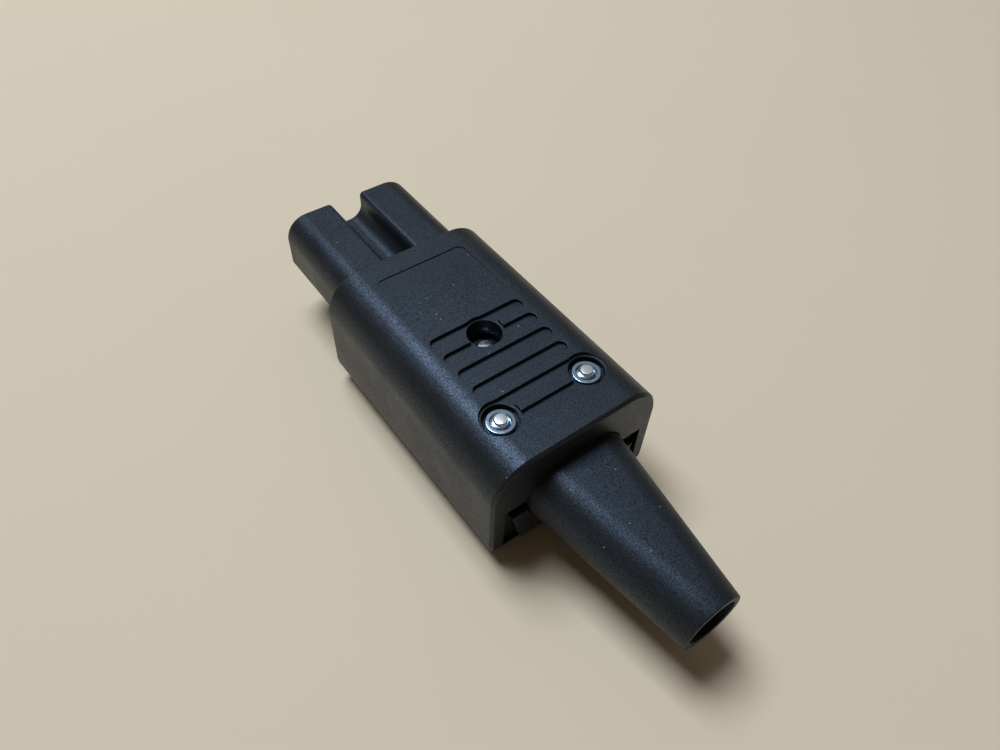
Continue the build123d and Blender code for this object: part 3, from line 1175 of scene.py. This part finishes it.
@dataclass
class Fixings:
    """Threaded bushes in the wells and the assembly screws that come up through them.

    All widths are diameters. A thread's height counts from the top of its piece.
    """

    keys: tuple[str, ...] = ("front", "rear_left", "rear_right")
    flange: float = 4.35
    flange_height: float = 0.7
    barrel: float = 3.5
    bore: float = 2.6
    mouth: float = 3.2
    shank: float = 2.5
    core: float = 2.1
    tip: float = 2.0
    tip_cone: float = 0.6
    head: float = 4.8
    head_height: float = 1.8
    slot: float = 0.9
    slot_depth: float = 0.8
    flange_round: float = 0.14
    flange_foot: float = 0.08
    barrel_chamfer: float = 0.15
    mouth_slope: float = 0.2
    shank_top: float = 6.0
    shank_chamfer: float = 0.4
    head_round: float = 0.15
    head_crown: float = 0.45
    bush_thread: Thread = Thread(1.3, -2.4, 2.1, 4.7, 0.1)
    screw_thread: Thread = Thread(1.05, -5.7, 5.1, 11.3, 0.19)

    def _bushes(self, material: bpy.types.Material) -> bpy.types.Object:
        """Makes the three bushes.

        Args:
            material: Their finish.

        Returns:
            One piece.
        """
        names = [f"threaded_bush_{key}" for key in self.keys]
        low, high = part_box(names[0])
        length = (high.z - low.z) / MM
        outer, barrel, bore = self.flange / 2, self.barrel / 2, self.bore / 2
        mouth, top, foot = self.mouth / 2, self.flange_round, self.flange_foot
        profile = [(mouth, 0.0)]
        profile += rounding((outer - top, -top), top, 90, 0)
        profile += rounding((outer - foot, foot - self.flange_height), foot, 0, -90, 2)
        profile += [(barrel, -self.flange_height), (barrel, self.barrel_chamfer - length)]
        profile += [(barrel - self.barrel_chamfer, -length), (bore, -length)]
        profile += [(bore, mouth * -self.mouth_slope), (mouth, 0.0)]
        piece = RingedPiece(
            "threaded_bushes",
            turned(profile),
            [top_middle(name) for name in names],
            around=64,
            thread=self.bush_thread,
        )
        return settle(piece.build(material), Slot.BUSH, *names)

    def _screws(self, material: bpy.types.Material) -> bpy.types.Object:
        """Makes the three screws.

        Args:
            material: Their finish.

        Returns:
            One piece.
        """
        names = [f"housing_screw_{key}" for key in self.keys]
        low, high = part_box(names[0])
        length = (high.z - low.z) / MM
        shank, core, tip, head = self.shank / 2, self.core / 2, self.tip / 2, self.head / 2
        seat, edge, crown = self.head_height - length, self.head_round, self.head_crown
        profile = [(0.0, 0.0), (tip * 0.6, -0.02), (tip * 0.9, -0.06), (tip, -0.16)]
        profile += [(core, -self.tip_cone), (core, self.shank_chamfer - self.shank_top)]
        profile += [(shank, -self.shank_top), (shank, seat)]
        profile += rounding((head - edge, seat - edge), edge, 90, 0)
        profile += rounding((head - crown, crown - length), crown, 0, -90)
        profile += [(0.0, -length)]
        piece = RingedPiece(
            "assembly_screws",
            turned(profile),
            [top_middle(name) for name in names],
            around=64,
            slot_width=self.slot,
            slot_depth=self.slot_depth,
            thread=self.screw_thread,
        )
        return settle(piece.build(material), Slot.SCREW, *names)

    def build(self, plating: bpy.types.Material, zinc: bpy.types.Material) -> None:
        """Makes bushes and screws.

        Args:
            plating: Finish of the bushes.
            zinc: Finish of the screws.
        """
        self._bushes(plating)
        self._screws(zinc)


@dataclass
class Wiring:
    """Inner parts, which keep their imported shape: contacts, terminals and the cord clamp."""

    nodes: dict[str, bpy.types.Object]

    def build(self, finishes: dict[str, bpy.types.Material]) -> None:
        """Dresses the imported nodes.

        Args:
            finishes: Finish by the start of the node's name, longest name first.
        """
        for name, node in sorted(self.nodes.items()):
            start = next((key for key in finishes if name.startswith(key)), None)
            if start:
                dress(node, finishes[start])
                LOG.info("%s keeps its packed shape", name)


@dataclass(frozen=True)
class SoftLamp:
    """A large area lamp that faces the connector."""

    name: str
    towards: Colour
    distance: float
    width: float
    height: float
    power: float
    colour: Colour = (1.0, 1.0, 1.0)

    def build(self) -> bpy.types.Object:
        """Makes the lamp.

        Returns:
            The lamp, turned to the connector.
        """
        light = bpy.data.lights.new(self.name, "AREA")
        light.shape = "RECTANGLE"
        light.size, light.size_y = self.width, self.height
        light.energy = self.power
        light.color = self.colour
        lamp = bpy.data.objects.new(self.name, light)
        bpy.context.scene.collection.objects.link(lamp)
        aim = Vector(self.towards).normalized()
        lamp.location = aim * self.distance
        lamp.rotation_mode = "QUATERNION"
        lamp.rotation_quaternion = aim.to_track_quat("Z", "Y")
        return lamp


@dataclass
class Studio:
    """Floor, soft light, pale surroundings and the camera."""

    floor_radius: float = 1.3
    floor_drop: float = 0.02
    floor_finish: PaleSurface = PaleSurface("pale table", (0.80, 0.67, 0.50))
    backdrop: Colour = (0.80, 0.80, 0.80)
    ambient: Colour = (1.0, 0.82, 0.60)
    ambient_strength: float = 0.08
    azimuth: float = 51.13
    elevation: float = 49.63
    roll: float = 2.92
    lens: float = 27.98
    location: Colour = (60.3, -48.1, 105.5)
    lamps: tuple[SoftLamp, ...] = (
        SoftLamp("window_lamp", (-0.37, -0.08, 0.925), 1.1, 0.5, 0.5, 10.6, (0.80, 0.90, 1.0)),
        SoftLamp("fill_lamp", (-0.50, 0.50, 0.71), 1.2, 0.9, 0.9, 0.8, (0.90, 0.95, 1.0)),
    )

    def _floor(self) -> None:
        """Makes the plain pale table top."""
        shape = bmesh.new()
        bmesh.ops.create_circle(shape, cap_ends=True, segments=96, radius=self.floor_radius)
        mesh = bpy.data.meshes.new("table_top")
        shape.to_mesh(mesh)
        shape.free()
        mesh.transform(Matrix.Translation((0.0, 0.0, -self.floor_drop * MM)))
        floor = link("table_top", mesh)
        dress(floor, self.floor_finish.material())

    def _surroundings(self) -> None:
        """Makes surroundings that are pale to the eye and dimmer as light and in reflections."""
        world = bpy.data.worlds.new("studio")
        world.use_nodes = True
        bpy.context.scene.world = world
        graph = Graph(world.node_tree)
        world.node_tree.nodes.clear()
        path = graph.add("ShaderNodeLightPath").outputs
        seen = path["Is Camera Ray"]
        light = graph.add(
            "ShaderNodeBackground",
            {"Color": (*self.ambient, 1.0), "Strength": self.ambient_strength},
        )
        shown = graph.add("ShaderNodeBackground", {"Color": (*self.backdrop, 1.0), "Strength": 1.0})
        mix = graph.add(
            "ShaderNodeMixShader", {0: seen, 1: light.outputs[0], 2: shown.outputs[0]}
        )
        graph.add("ShaderNodeOutputWorld", {0: mix.outputs[0]})

    def _camera(self) -> None:
        """Sets the camera where the photograph was taken from."""
        az, el, roll = radians(self.azimuth), radians(self.elevation), radians(self.roll)
        back = Vector((sin(az) * cos(el), -cos(az) * cos(el), sin(el)))
        level = Vector((cos(az), sin(az), 0.0))
        above = back.cross(level)
        right = level * cos(roll) + above * sin(roll)
        up = back.cross(right)
        camera = bpy.data.objects.new("camera", bpy.data.cameras.new("camera"))
        camera.data.lens = self.lens
        camera.data.sensor_width = SENSOR_WIDTH
        camera.data.clip_start = NEAREST_SEEN
        turn = Matrix((right, up, back)).transposed().to_4x4()
        camera.matrix_world = Matrix.Translation(Vector(self.location) * MM) @ turn
        bpy.context.scene.collection.objects.link(camera)
        bpy.context.scene.camera = camera

    def build(self) -> None:
        """Makes floor, lamps, surroundings and camera."""
        self._floor()
        for lamp in self.lamps:
            lamp.build()
        self._surroundings()
        self._camera()
        bpy.context.scene.view_settings.view_transform = "Standard"
        LOG.info("studio is set")


def main() -> None:
    """Builds the connector's looks and the studio."""
    logging.basicConfig(level=logging.INFO, format="%(name)s: %(message)s")
    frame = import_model()
    nodes = frame["nodes"]
    shell = MouldedPlastic("eroded plastic", (0.016, 0.017, 0.019), 0.40).material()
    wells = MouldedPlastic(
        "polished plastic", (0.014, 0.015, 0.016), 0.22, relief=0.002, glint=0.1, dust=0.0
    ).material()
    inner = MouldedPlastic("carrier plastic", (0.016, 0.017, 0.019), 0.40).material()
    rubber = MouldedPlastic("boot rubber", (0.015, 0.016, 0.018), 0.50, relief=0.018).material()
    # Painted reflection: the bushes' nickel colour is darkened and tinted blue to stand in for the
    # blue sky light that their tops reflect.
    nickel_and_painted_sky = PlatedMetal("nickel plating", (0.36, 0.48, 0.62), 0.18, 0.12, 0.003).material()
    zinc = PlatedMetal("zinc plating", (0.80, 0.85, 0.92), 0.24, 0.25, 0.012).material()
    brass = PlatedMetal("drawn brass", (0.72, 0.55, 0.28), 0.3, drawn=(0.2, 1, 1)).material()
    sheet = PlatedMetal("plated sheet", (0.72, 0.68, 0.56), 0.3, drawn=(0.2, 1, 1)).material()
    clamp = MouldedPlastic("clamp plastic", (0.05, 0.05, 0.055), 0.45).material()
    Housing(nodes).build(shell, wells)
    MatingNose(nodes).build(inner)
    CordBoot().build(rubber)
    Fixings().build(nickel_and_painted_sky, zinc)
    Wiring(nodes).build(
        {
            "terminal_screw": zinc,
            "terminal": brass,
            "contact_line": sheet,
            "contact_neutral": sheet,
            "contact_earth": sheet,
            "cord_clamp_screw": zinc,
            "cord_clamp": clamp,
        }
    )
    Studio().build()


if __name__ == "__main__":
    main()
